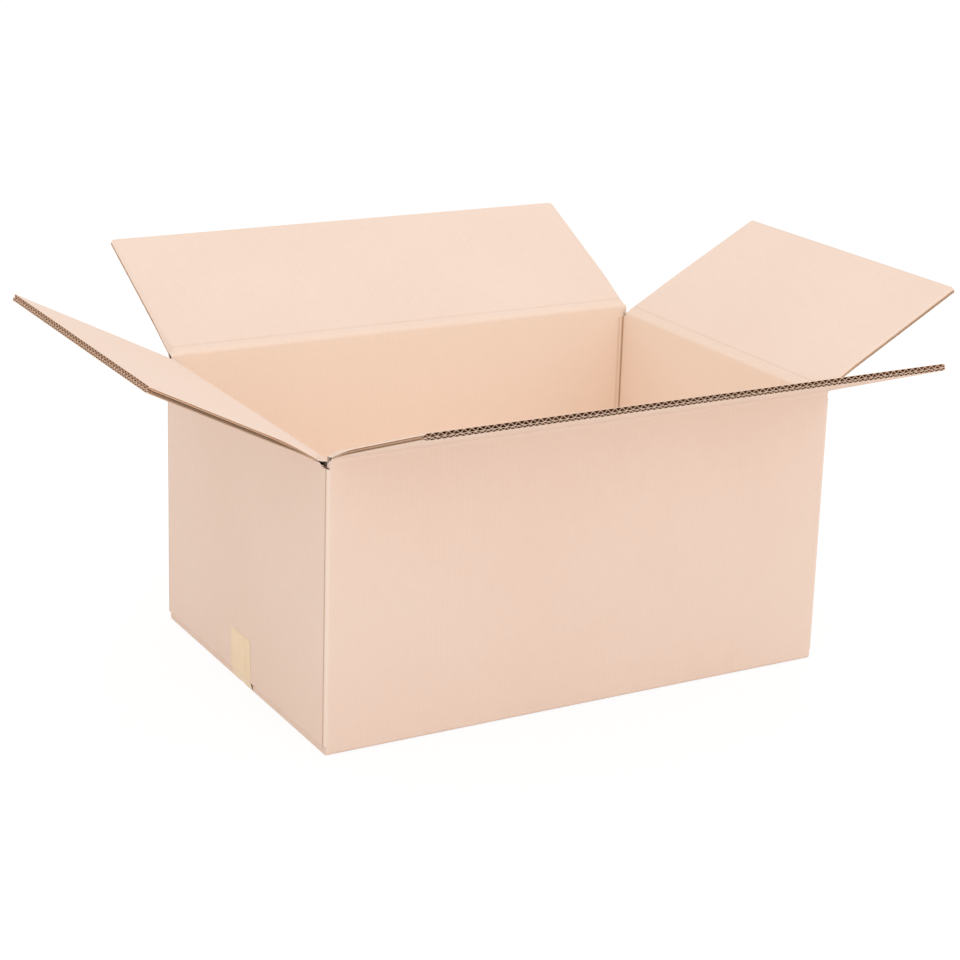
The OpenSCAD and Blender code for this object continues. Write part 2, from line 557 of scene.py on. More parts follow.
@dataclass
class FoldedLiner:
    """Paper that crosses a top crease, inside or outside."""

    side: Side
    layout: Layout
    board: Board
    length: float
    shape: FoldShape
    kept: float

    RUN = 14
    BEND_STEPS = 20
    COLUMNS = 90
    LIFT = 0.06 * MM
    LIFT_LOST_AT_BORDER = 0.75
    LIES_DOWN_FROM = 0.7
    WALL_HINGE = 7 * MM
    WANDER = 0.3 * MM
    OUTER_WANDER_SHARE = 0.2

    def face(self, travel: float) -> float:
        """Place of the paper across the board, lying down towards its border.

        Args:
            travel: Distance from the crease.

        Returns:
            The place.
        """
        reach = self.shape.reach
        lift = self.LIFT * (1 - self.LIFT_LOST_AT_BORDER * smooth(reach * self.LIES_DOWN_FROM, reach, travel))
        return self.board.thickness + lift if self.shape.inside else -lift

    def wall_point(self, drop: float) -> Vector:
        """Point on the wall's face, drop below the crease."""
        press = 0.0 if self.shape.inside else self.groove(drop)
        return Vector((0, self.face(drop) + press, -drop))

    def groove(self, travel: float) -> float:
        """Depth of the pressed score line."""
        s = self.shape
        return s.groove_depth * math.exp(-(((travel - s.groove_at) / s.groove_width) ** 2))

    def flap_point(self, rise: float, x: float = 0.0) -> Vector:
        """Point on the flap's face.

        Args:
            rise: Height above the crease on the upright flap.
            x: Place along the crease.

        Returns:
            The point in the side's own frame.
        """
        pinch = Pinch(self.board.thickness, self.length, self.kept)
        y = pinch.press(x, self.face(rise), rise)
        if self.shape.inside:
            y -= self.groove(rise)
        return Matrix.Rotation(self.layout.lean(self.side), 3, "X") @ Vector((0, y, rise))

    def section(self, x: float) -> list[tuple[Vector, float]]:
        """Points across the crease from wall to flap, each with its score shade.

        Args:
            x: Place along the crease.

        Returns:
            Points and shades.
        """
        s = self.shape
        start, end = self.wall_point(s.wall_bend), self.flap_point(s.flap_bend, x)
        along = Matrix.Rotation(self.layout.lean(self.side), 3, "X") @ Vector((0, 0, 1))
        points = []
        for i in range(self.RUN):
            drop = s.reach + (s.wall_bend - s.reach) * i / self.RUN
            points.append((self.wall_point(drop), 0.0 if s.inside else self.groove(drop) / s.groove_depth))
        near, far = start + Vector((0, 0, s.pull)), end - along * s.pull
        for i in range(self.BEND_STEPS + 1):
            t = i / self.BEND_STEPS
            p = (1 - t) ** 3 * start + 3 * (1 - t) ** 2 * t * near + 3 * (1 - t) * t * t * far + t**3 * end
            points.append((p, 0.0))
        for i in range(1, self.RUN + 1):
            rise = s.flap_bend + (s.reach - s.flap_bend) * i / self.RUN
            points.append((self.flap_point(rise, x), self.groove(rise) / s.groove_depth if s.inside else 0.0))
        return points

    def strip(self) -> bmesh.types.BMesh:
        """Lays the strip along the whole crease.

        Returns:
            The mesh in the row frame, with its score shade and its wall share, which blends in the painted
            wall light, marked.
        """
        steps = 2 * self.RUN + self.BEND_STEPS
        bm = bmesh.new()
        shade = bm.verts.layers.float.new("shade")
        wall = bm.verts.layers.float.new("wall")
        bmesh.ops.create_grid(bm, x_segments=self.COLUMNS, y_segments=steps, size=0.5)
        sections: dict[int, list] = {}
        for v in bm.verts:
            x = self.length / 2 * math.sin(math.pi * v.co.x)
            step = round((v.co.y + 0.5) * steps)
            column = round((v.co.x + 0.5) * self.COLUMNS)
            if column not in sections:
                sections[column] = self.section(x)
            point, score = sections[column][step]
            v.co = point + Vector((x, 0, 0))
            # Wall share: how far the strip takes the inner wall colour with its painted light.
            v[wall] = 1 - smooth(self.RUN, self.RUN + self.BEND_STEPS, step)
            v[shade] = score * (0.75 + 0.25 * noise.noise(Vector((x * 30, 0, self.side.turn))))
        self.soften(bm)
        bmesh.ops.transform(bm, matrix=self.layout.side_matrix(self.side), verts=bm.verts[:])
        return bm

    def build(self, material: bpy.types.Material) -> bpy.types.Object:
        """Builds the piece and hangs it between the wall and the flap.

        Args:
            material: The paper.

        Returns:
            The piece, its painted light blended from the wall to the flap.
        """
        where = "inner" if self.shape.inside else "outer"
        piece = finish_mesh(f"{self.side.body}_{where}_fold", self.strip(), [material], shade_smooth=True)
        place = self.layout.side_matrix(self.side)
        end = place @ self.flap_point(self.shape.flap_bend)
        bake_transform(piece)
        return piece

    def soften(self, bm: bmesh.types.BMesh) -> None:
        """Lets the fold wander a little along the crease, away from the strip's two borders.

        Args:
            bm: The strip, in the side's own frame.
        """
        share = 1 if self.shape.inside else self.OUTER_WANDER_SHARE
        centre = Vector((0, self.board.thickness if self.shape.inside else 0, 0))
        for v in bm.verts:
            near = 1 - smooth(3 * MM, 6 * MM, (Vector((0, v.co.y, v.co.z)) - centre).length)
            wander = noise.noise(Vector((v.co.x * 28, v.co.z * 60, self.side.turn)))
            v.co.z += self.WANDER * wander * near * share


@dataclass
class BottomEdge:
    """Open flutes along the free edge of a short bottom flap, seen inside the box."""

    sign: int
    board: Board
    low: float
    length: float
    reach: float
    depth: float = 3 * MM
    corner: float = 0.5 * MM

    def build(self, materials: list) -> bpy.types.Object:
        """Builds the fluted edge in front of the CAD flap's end.

        Args:
            materials: Materials by slot.

        Returns:
            The piece, riding on the box.
        """
        cutter = SheetCutter(self.board, self.length, self.depth, corner=self.corner, seed=3.0 + self.sign)
        bm = cutter.build(lambda y: 0.0, 0.0)
        place = Matrix.Translation((self.sign * self.reach, 0, self.low))
        lay = Matrix(((0, 0, -self.sign, 0), (1, 0, 0, 0), (0, 1, 0, 0), (0, 0, 0, 1)))
        bmesh.ops.transform(bm, matrix=place @ lay, verts=bm.verts[:])
        name = "bottom_edge_right" if self.sign > 0 else "bottom_edge_left"
        piece = finish_mesh(name, bm, materials)
        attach(piece, "box")
        return piece


@dataclass
class TapeStrip:
    """Packing tape under the seam and up both short walls, with its toothed ends."""

    width: float = 50 * MM
    tooth: float = 1.4 * MM
    lift: float = 0.05 * MM
    foot_inset: float = 3.3 * MM
    bend_height: float = 11.5 * MM

    def path(self) -> list[Vector]:
        """Traces the tape's outer face from the left end to the right end.

        Returns:
            Points in the XZ plane.
        """
        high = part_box("bottom_tape")[1]
        half, top = high[0], high[2]
        lift, bend, foot = self.lift, self.bend_height, half - self.foot_inset
        heights = (top - 0.5 * MM, top * 0.8, top * 0.6, top * 0.4, bend + 2 * MM)
        rise = [Vector((half - lift, 0, z)) for z in heights]
        turn = [
            Vector((half - 0.2 * MM, 0, bend)),
            Vector((half - 1.4 * MM, 0, bend * 0.5)),
            Vector((foot + 0.4 * MM, 0, 1.2 * MM)),
            Vector((foot - 0.6 * MM, 0, 0.25 * MM)),
            Vector((foot - 3 * MM, 0, lift)),
        ]
        flat = [Vector((foot * k, 0, lift)) for k in (0.9, 0.6, 0.3)]
        right = rise + turn + flat
        left = [Vector((-p.x, 0, p.z)) for p in right]
        return left + [Vector((0, 0, lift))] + right[::-1]

    def build(self, material: bpy.types.Material) -> bpy.types.Object:
        """Builds the tape in place of the CAD strip.

        Args:
            material: The film.

        Returns:
            The piece, riding on the box.
        """
        bm = bmesh.new()
        points = self.path()
        teeth = int(self.width / (2 * self.tooth))
        verts = [bm.verts.new(p + Vector((0, -self.width / 2, 0))) for p in points]
        ring: list = [bm.edges.new(pair) for pair in zip(verts, verts[1:])]
        ends = [[verts[0], verts[-1]]]
        count = 2 * teeth
        for _ in range(count):
            grown = bmesh.ops.extrude_edge_only(bm, edges=ring)
            moved = [g for g in grown["geom"] if isinstance(g, bmesh.types.BMVert)]
            edges = [g for g in grown["geom"] if isinstance(g, bmesh.types.BMEdge)]
            bmesh.ops.translate(bm, verts=moved, vec=(0, self.width / count, 0))
            ring = [e for e in edges if all(v in moved for v in e.verts)]
            tops = sorted(moved, key=lambda v: -v.co.z)[:2]
            ends.append(tops)
        for i, pair in enumerate(ends):
            for v in pair:
                v.co.z -= self.tooth * (i % 2)
        piece = finish_mesh("seam_tape", bm, [material], shade_smooth=True)
        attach(piece, "box")
        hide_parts("bottom_tape")
        return piece


class NodeBench:
    """Short calls for making and joining shader nodes."""

    def __init__(self, tree: bpy.types.NodeTree) -> None:
        """Keeps the tree to work on."""
        self.tree = tree

    def add(self, kind: str, **values: object) -> bpy.types.Node:
        """Adds a node and sets its properties.

        Args:
            kind: Node type, without the ShaderNode prefix.
            **values: Properties of the node.

        Returns:
            The node.
        """
        node = self.tree.nodes.new("ShaderNode" + kind)
        for key, value in values.items():
            setattr(node, key, value)
        return node

    def join(self, source: bpy.types.NodeSocket, target: bpy.types.NodeSocket) -> None:
        """Links two sockets."""
        self.tree.links.new(source, target)

    def math(self, operation: str, first: object, second: object = 0.0) -> bpy.types.NodeSocket:
        """Adds a math node.

        Args:
            operation: Name of the operation.
            first: Socket or number.
            second: Socket or number.

        Returns:
            The result socket.
        """
        node = self.add("Math", operation=operation)
        for socket, value in zip(node.inputs, (first, second)):
            if isinstance(value, (int, float)):
                socket.default_value = value
            else:
                self.join(value, socket)
        return node.outputs[0]

    def mix(self, factor: object, first: object, second: object) -> bpy.types.NodeSocket:
        """Adds a colour mix.

        Args:
            factor: Socket or number.
            first: Socket or colour.
            second: Socket or colour.

        Returns:
            The colour socket.
        """
        node = self.add("Mix", data_type="RGBA")
        for socket, value in ((node.inputs[0], factor), (node.inputs[6], first), (node.inputs[7], second)):
            if isinstance(value, bpy.types.NodeSocket):
                self.join(value, socket)
            elif isinstance(value, (int, float)):
                socket.default_value = value
            else:
                socket.default_value = (*value, 1.0)
        return node.outputs[2]

    def share(self, value: object, part: float) -> bpy.types.NodeSocket:
        """Scales a mask to a part of its strength."""
        return self.math("MULTIPLY", value, part)

    def noise(
        self, vector: bpy.types.NodeSocket, scale: tuple, detail: float, rough: float = 0.5
    ) -> bpy.types.NodeSocket:
        """Adds noise stretched by a mapping.

        Args:
            vector: Coordinates.
            scale: Scale along X, Y and Z, per metre.
            detail: Octaves.
            rough: Weight of the finer octaves.

        Returns:
            The noise value.
        """
        mapping = self.add("Mapping")
        mapping.inputs["Scale"].default_value = scale
        self.join(vector, mapping.inputs["Vector"])
        tex = self.add("TexNoise")
        tex.inputs["Scale"].default_value = 1.0
        tex.inputs["Detail"].default_value = detail
        tex.inputs["Roughness"].default_value = rough
        self.join(mapping.outputs[0], tex.inputs["Vector"])
        return tex.outputs["Fac"]

    def ramp(self, value: bpy.types.NodeSocket, low: float, high: float) -> bpy.types.NodeSocket:
        """Maps a range smoothly to 0 to 1.

        Args:
            value: The socket to map.
            low: Value that gives 0.
            high: Value that gives 1.

        Returns:
            The mapped socket.
        """
        node = self.add("MapRange", interpolation_type="SMOOTHSTEP")
        node.inputs["From Min"].default_value = low
        node.inputs["From Max"].default_value = high
        self.join(value, node.inputs["Value"])
        return node.outputs[0]


def paper_group() -> bpy.types.NodeTree:
    """Builds the shared paper pattern: cloudy tone, fibres, flecks and a fine height.

    Returns:
        The node group, with Vector in and Tone, Fibres, Flecks and Height out.
    """
    tree = bpy.data.node_groups.new("paper_pattern", "ShaderNodeTree")
    tree.interface.new_socket("Vector", in_out="INPUT", socket_type="NodeSocketVector")
    for name in ("Tone", "Fibres", "Flecks", "Height"):
        tree.interface.new_socket(name, in_out="OUTPUT", socket_type="NodeSocketFloat")
    bench = NodeBench(tree)
    source = tree.nodes.new("NodeGroupInput").outputs["Vector"]
    sink = tree.nodes.new("NodeGroupOutput")
    cloud = bench.noise(source, (5, 5, 5), 3)
    mottle = bench.noise(source, (90, 90, 70), 4, 0.6)
    tone = bench.math("ADD", bench.share(cloud, 0.6), bench.share(mottle, 0.4))
    fibres = bench.noise(source, (420, 420, 1500), 3, 0.65)
    flecks = bench.ramp(bench.noise(source, (800, 800, 900), 1), 0.70, 0.78)
    height = bench.math("ADD", bench.share(fibres, 0.5), bench.share(mottle, 0.5))
    for name, value in (("Tone", tone), ("Fibres", fibres), ("Flecks", flecks), ("Height", height)):
        bench.join(value, sink.inputs[name])
    return tree


def flute_group() -> bpy.types.NodeTree:
    """Builds the shared washboard pattern of a liner glued on flutes.

    Returns:
        The node group, with Vector, Along Y and Pitch in and Line out.
    """
    tree = bpy.data.node_groups.new("flute_lines", "ShaderNodeTree")
    tree.interface.new_socket("Vector", in_out="INPUT", socket_type="NodeSocketVector")
    tree.interface.new_socket("Along Y", in_out="INPUT", socket_type="NodeSocketFloat")
    tree.interface.new_socket("Pitch", in_out="INPUT", socket_type="NodeSocketFloat")
    tree.interface.new_socket("Line", in_out="OUTPUT", socket_type="NodeSocketFloat")
    bench = NodeBench(tree)
    source = tree.nodes.new("NodeGroupInput")
    sink = tree.nodes.new("NodeGroupOutput")
    split = bench.add("SeparateXYZ")
    bench.join(source.outputs["Vector"], split.inputs[0])
    keep_x = bench.math("SUBTRACT", 1.0, source.outputs["Along Y"])
    along = bench.math(
        "ADD",
        bench.math("MULTIPLY", split.outputs[0], keep_x),
        bench.math("MULTIPLY", split.outputs[1], source.outputs["Along Y"]),
    )
    turns = bench.math("MULTIPLY", bench.math("DIVIDE", along, source.outputs["Pitch"]), 2 * math.pi)
    wave = bench.math("ADD", bench.math("MULTIPLY", bench.math("SINE", turns), 0.5), 0.5)
    patchy = bench.ramp(bench.noise(source.outputs["Vector"], (9, 9, 5), 2), 0.25, 0.75)
    bench.join(bench.math("MULTIPLY", wave, patchy), sink.inputs["Line"])
    return tree


@dataclass(frozen=True)
class Shell:
    """Where the walls lie: half sizes outside, the board's thickness and the top of the corner slots."""

    half_x: float
    half_y: float
    thick: float
    slot_z: float

    SLACK = 2 * MM
    UNDERSIDE_UP_TO = 5 * MM
    # Strengths of the painted shade in the inner corners, along the inner score lines and beside the outer
    # folds.
    CORNER_SHADE = 0.8
    SCORE_SHADE = 0.22
    OUTER_SHADE = 0.62
    CUT_BELOW_SLOT = 6 * MM

    def place(self, bench: NodeBench, where: bpy.types.NodeSocket) -> tuple:
        """Distances from the middle planes, and the height.

        Args:
            bench: The material's bench.
            where: Object coordinates.

        Returns:
            Sockets for |x|, |y| and z.
        """
        split = bench.add("SeparateXYZ")
        bench.join(where, split.inputs[0])
        across, along = (bench.math("ABSOLUTE", split.outputs[axis]) for axis in (0, 1))
        return across, along, split.outputs[2]

    def inside(self, bench: NodeBench, x: object, y: object, z: object) -> bpy.types.NodeSocket:
        """Mask of what lies within the walls.

        Args:
            bench: The material's bench.
            x: Distance from the middle plane across the short walls.
            y: Distance from the middle plane across the long walls.
            z: Height.

        Returns:
            The mask.
        """
        in_x = bench.math("LESS_THAN", x, self.half_x - self.thick + self.SLACK)
        in_y = bench.math("LESS_THAN", y, self.half_y - self.thick + self.SLACK)
        above = bench.math("GREATER_THAN", z, self.UNDERSIDE_UP_TO)
        return bench.math("MULTIPLY", bench.math("MULTIPLY", in_x, in_y), above)

    def band(
        self, bench: NodeBench, value: object, low: float, high: float, soft: float
    ) -> bpy.types.NodeSocket:
        """Mask of a band with soft borders.

        Args:
            bench: The material's bench.
            value: Socket that the band is cut from.
            low: Where the full band starts.
            high: Where it ends.
            soft: Width of each border.

        Returns:
            The mask.
        """
        rise = bench.ramp(value, low - soft, low)
        fall = bench.ramp(value, high, high + soft)
        return bench.math("MULTIPLY", rise, bench.math("SUBTRACT", 1.0, fall))

    def folds(self, bench: NodeBench, x: object, y: object, inside: object) -> bpy.types.NodeSocket:
        """Mask of the painted shade at the four wall folds, outside and inside.

        Args:
            bench: The material's bench.
            x: Distance from the middle plane across the short walls.
            y: Distance from the middle plane across the long walls.
            inside: Mask of what lies within the walls.

        Returns:
            The mask.
        """
        face_x, face_y = self.half_x - self.thick, self.half_y - self.thick
        near_x = bench.ramp(x, face_x - 2.4 * MM, face_x - 0.8 * MM)
        near_y = bench.ramp(y, face_y - 2.4 * MM, face_y - 0.8 * MM)
        corner = bench.math("MULTIPLY", near_x, near_y)
        score_line = self.band(bench, x, face_x - 6.5 * MM, face_x - 4.5 * MM, 1 * MM)
        score = bench.math("MULTIPLY", score_line, bench.math("GREATER_THAN", y, face_y - 1 * MM))
        corner_shade = bench.share(corner, self.CORNER_SHADE)
        inner = bench.math("ADD", corner_shade, bench.share(score, self.SCORE_SHADE))
        line = self.band(bench, y, self.half_y - 4.2 * MM, self.half_y - 2.8 * MM, 0.7 * MM)
        outer = bench.math("MULTIPLY", line, bench.math("GREATER_THAN", x, self.half_x - 2.2 * MM))
        shaded = bench.share(outer, self.OUTER_SHADE)
        return bench.math("ADD", bench.math("MULTIPLY", inner, inside), shaded)

    def bright_folds(self, bench: NodeBench, x: object, y: object) -> bpy.types.NodeSocket:
        """Mask of the stretched paper beside each outer wall fold, on the long walls."""
        strip = self.band(bench, x, self.half_x - 3.4 * MM, self.half_x - 1 * MM, 0.8 * MM)
        return bench.math("MULTIPLY", strip, bench.math("GREATER_THAN", y, self.half_y - 2 * MM))

    def shaded_cut_edges(self, bench: NodeBench, z: object) -> bpy.types.NodeSocket:
        """Mask of the painted shade on the cut edges at the bottom of the slots and along the tops of the
        walls.

        Args:
            bench: The material's bench.
            z: Height.

        Returns:
            The mask.
        """
        normal = bench.add("SeparateXYZ")
        bench.join(bench.add("NewGeometry").outputs["Normal"], normal.inputs[0])
        up = bench.ramp(bench.math("ABSOLUTE", normal.outputs[2]), 0.3, 0.5)
        return bench.math("MULTIPLY", up, bench.math("GREATER_THAN", z, self.slot_z - self.CUT_BELOW_SLOT))


@dataclass(frozen=True)
class PaperFinish:
    """A kraft paper: its colours with their painted light and shade, how strongly the flutes show through as
    painted shade and relief, and their direction.
    """

    name: str
    colour: tuple
    dark: tuple
    light: tuple
    flute_pitch: float = 6.35 * MM
    flute_show: float = 0.5
    flutes_by_y: bool = False
    # Colour inside the walls, a brighter copy of the paper: painted light.
    inside: tuple | None = None
    # Colour of the cut edges at the slots and wall tops: painted shade of their open flutes.
    cut: tuple | None = None
    shell: Shell | None = None

    TONE_SHARE = 0.22
    FIBRE_SHARE = 0.10
    FLECK_SHARE = 0.22
    FLUTE_SHADE_SHARE = 0.05
    SCORE_SHADE_SHARE = 0.16
    STRETCHED_SHARE = 0.5
    FIBRE_HEIGHT = 0.07
    FLUTE_HEIGHT = -0.10

    def material(self, groups: dict) -> bpy.types.Material:
        """Builds the material.

        Args:
            groups: Shared node groups by name.

        Returns:
            The material.
        """
        mat = bpy.data.materials.new(self.name)
        mat.use_nodes = True
        bench = NodeBench(mat.node_tree)
        shader = mat.node_tree.nodes["Principled BSDF"]
        where = bench.add("TexCoord").outputs["Object"]
        paper = bench.add("Group")
        paper.node_tree = groups["paper"]
        bench.join(where, paper.inputs["Vector"])
        line = self.flute_line(bench, groups, where)
        if self.shell:
            colour = self.wall_colour(bench, where, paper, line)
        else:
            colour = self.sheet_colour(bench, paper, line)
        bench.join(colour, shader.inputs["Base Color"])
        self.surface(bench, shader, paper, line)
        return mat

    def wall_colour(
        self, bench: NodeBench, where: bpy.types.NodeSocket, paper: bpy.types.Node, line: bpy.types.NodeSocket
    ) -> bpy.types.NodeSocket:
        """Colours the walls: their two faces, with painted light on the inner ones, and their folds and cut
        edges, with painted shade.

        Args:
            bench: The material's bench.
            where: Object coordinates.
            paper: The paper pattern's node.
            line: The washboard pattern.

        Returns:
            The colour.
        """
        x, y, z = self.shell.place(bench, where)
        within = self.shell.inside(bench, x, y, z)
        # Painted light: faces within the walls take the brighter inner wall colour.
        base = self.grained(bench, bench.mix(within, self.colour, self.inside), paper, line)
        # Painted shade at the wall folds.
        fold_shaded = bench.mix(self.shell.folds(bench, x, y, within), base, self.dark)
        bright = bench.share(self.shell.bright_folds(bench, x, y), self.STRETCHED_SHARE)
        stretched = bench.mix(bright, fold_shaded, self.light)
        # Painted shade on the cut edges at the slots and along the wall tops.
        return bench.mix(self.shell.shaded_cut_edges(bench, z), stretched, self.cut)

    def sheet_colour(
        self, bench: NodeBench, paper: bpy.types.Node, line: bpy.types.NodeSocket
    ) -> bpy.types.NodeSocket:
        """Colours a flap's paper, with painted shade on its score lines and painted light towards the wall.

        Args:
            bench: The material's bench.
            paper: The paper pattern's node.
            line: The washboard pattern.

        Returns:
            The colour.
        """
        base: object = self.colour
        if self.inside:
            # Painted light: the fold strip takes the brighter inner wall colour on its wall side.
            wall = bench.add("Attribute", attribute_name="wall").outputs["Fac"]
            base = bench.mix(wall, self.colour, self.inside)
        score = bench.add("Attribute", attribute_name="shade").outputs["Fac"]
        grained = self.grained(bench, base, paper, line)
        # Painted shade along the score groove of the fold strips.
        return bench.mix(bench.share(score, self.SCORE_SHADE_SHARE), grained, self.dark)

    def grained(
        self, bench: NodeBench, base: object, paper: bpy.types.Node, line: bpy.types.NodeSocket
    ) -> bpy.types.NodeSocket:
        """Lays cloudy tone, fibres, flecks and the painted shade of the flute lines over a colour.

        Args:
            bench: The material's bench.
            base: The colour, as a socket or a tuple.
            paper: The paper pattern's node.
            line: The washboard pattern.

        Returns:
            The colour.
        """
        cloudy = bench.ramp(paper.outputs["Tone"], 0.35, 0.68)
        toned = bench.mix(bench.share(cloudy, self.TONE_SHARE), base, self.light)
        fibrous = bench.ramp(paper.outputs["Fibres"], 0.45, 0.75)
        fibred = bench.mix(bench.share(fibrous, self.FIBRE_SHARE), toned, self.dark)
        flecked = bench.mix(bench.share(paper.outputs["Flecks"], self.FLECK_SHARE), fibred, self.dark)
        # Painted shade of the washboard ripples along the flutes.
        return bench.mix(bench.share(line, self.FLUTE_SHADE_SHARE * self.flute_show), flecked, self.dark)

    def flute_line(self, bench: NodeBench, groups: dict, where: bpy.types.NodeSocket) -> bpy.types.NodeSocket:
        """Adds the washboard pattern along the right axis.

        Args:
            bench: The material's bench.
            groups: Shared node groups by name.
            where: Object coordinates.

        Returns:
            The pattern.
        """
        lines = bench.add("Group")
        lines.node_tree = groups["flutes"]
        bench.join(where, lines.inputs["Vector"])
        lines.inputs["Pitch"].default_value = self.flute_pitch
        if self.shell:
            normal = bench.add("SeparateXYZ")
            bench.join(bench.add("NewGeometry").outputs["Normal"], normal.inputs[0])
            faces_x = bench.math("ABSOLUTE", normal.outputs[0])
            bench.join(bench.ramp(faces_x, 0.5, 0.8), lines.inputs["Along Y"])
        else:
            lines.inputs["Along Y"].default_value = 1.0 if self.flutes_by_y else 0.0
        return lines.outputs["Line"]

    def surface(self, bench: NodeBench, shader: bpy.types.Node, paper: bpy.types.Node, line: object) -> None:
        """Adds the paper's roughness and fine relief.

        Args:
            bench: The material's bench.
            shader: The material's shader.
            paper: The paper pattern's node.
            line: The washboard pattern.
        """
        rough = bench.add("MapRange")
        rough.inputs["To Min"].default_value = 0.74
        rough.inputs["To Max"].default_value = 0.9
        bench.join(paper.outputs["Fibres"], rough.inputs["Value"])
        bench.join(rough.outputs[0], shader.inputs["Roughness"])
        shader.inputs["Specular IOR Level"].default_value = 0.25
        fibre_height = bench.share(paper.outputs["Height"], self.FIBRE_HEIGHT)
        height = bench.math("ADD", fibre_height, bench.share(line, self.FLUTE_HEIGHT * self.flute_show))
        bump = bench.add("Bump")
        bump.inputs["Strength"].default_value = 0.4
        bump.inputs["Distance"].default_value = 0.5 * MM
        bench.join(height, bump.inputs["Height"])
        bench.join(bump.outputs[0], shader.inputs["Normal"])


@dataclass(frozen=True)
class CellFinish:
    """Paper inside the flute cells: light at the cut edge, darkened a few millimetres in by painted shade."""

    name: str
    edge: tuple
    # Colour of the painted shade deep in the cells, also used for the fibre mottle.
    deep: tuple
    dark_from: float = 0.15 * MM
    dark_at: float = 3.6 * MM
    fibre_share: float = 0.35

    def material(self, groups: dict) -> bpy.types.Material:
        """Builds the material.

        Args:
            groups: Shared node groups by name.

        Returns:
            The material.
        """
        mat = bpy.data.materials.new(self.name)
        mat.use_nodes = True
        bench = NodeBench(mat.node_tree)
        shader = mat.node_tree.nodes["Principled BSDF"]
        paper = bench.add("Group")
        paper.node_tree = groups["paper"]
        bench.join(bench.add("TexCoord").outputs["Object"], paper.inputs["Vector"])
        depth = bench.add("Attribute", attribute_name="depth").outputs["Fac"]
        # Painted shade: the cell paper darkens with depth behind the cut edge.
        painted_cell_shade = bench.ramp(depth, self.dark_from, self.dark_at)
        mottled = bench.mix(bench.share(paper.outputs["Fibres"], self.fibre_share), self.edge, self.deep)
        bench.join(bench.mix(painted_cell_shade, mottled, self.deep), shader.inputs["Base Color"])
        rough = bench.add("MapRange")
        rough.inputs["To Min"].default_value = 0.8
        rough.inputs["To Max"].default_value = 0.95
        bench.join(paper.outputs["Tone"], rough.inputs["Value"])
        bench.join(rough.outputs[0], shader.inputs["Roughness"])
        shader.inputs["Specular IOR Level"].default_value = 0.1
        return mat


@dataclass(frozen=True)
class TapeFinish:
    """Buff packing tape: a thin film with a faint lengthwise grain."""

    name: str = "buff_film"
    colour: tuple = (0.87, 0.63, 0.38)
    light: tuple = (0.92, 0.72, 0.48)

    def material(self) -> bpy.types.Material:
        """Builds the material.

        Returns:
            The material.
        """
        mat = bpy.data.materials.new(self.name)
        mat.use_nodes = True
        bench = NodeBench(mat.node_tree)
        shader = mat.node_tree.nodes["Principled BSDF"]
        where = bench.add("TexCoord").outputs["Object"]
        streaks = bench.noise(where, (12, 260, 12), 3)
        patches = bench.noise(where, (45, 60, 45), 2)
        grain = bench.ramp(bench.share(bench.math("ADD", streaks, patches), 0.5), 0.3, 0.7)
        bench.join(bench.mix(grain, self.colour, self.light), shader.inputs["Base Color"])
        rough = bench.add("MapRange")
        rough.inputs["To Min"].default_value = 0.28
        rough.inputs["To Max"].default_value = 0.42
        bench.join(patches, rough.inputs["Value"])
        bench.join(rough.outputs[0], shader.inputs["Roughness"])
        bump = bench.add("Bump")
        bump.inputs["Strength"].default_value = 0.3
        bump.inputs["Distance"].default_value = 0.3 * MM
        bench.join(patches, bump.inputs["Height"])
        bench.join(bump.outputs[0], shader.inputs["Normal"])
        return mat


@dataclass(frozen=True)
class Lamp:
    """A square soft lamp that looks at the box."""

    name: str
    place: tuple
    size: float
    power: float
    colour: tuple

    def build(self) -> bpy.types.Object:
        """Hangs the lamp, unseen by the camera.

        Returns:
            The lamp.
        """
        data = bpy.data.lights.new(self.name, "AREA")
        data.size, data.energy, data.color = self.size, self.power, self.colour
        lamp = bpy.data.objects.new(self.name, data)
        bpy.context.scene.collection.objects.link(lamp)
        lamp.visible_camera = False
        aim = Vector(LAMP_TARGET) - Vector(self.place)
        turn = aim.to_track_quat("-Z", "Y").to_matrix().to_4x4()
        lamp.matrix_world = Matrix.Translation(self.place) @ turn
        return lamp


LAMPS = (
    Lamp("front_lamp", (-0.4, -3.4, 1.2), 2.6, 12, (1.0, 0.97, 0.93)),
    Lamp("top_lamp", (0.4, -0.2, 3.0), 1.4, 8, (1.0, 1.0, 1.0)),
    Lamp("inner_lamp", (0, 0, 0.03), 0.36, 0.16, (1.0, 0.98, 0.98)),
)


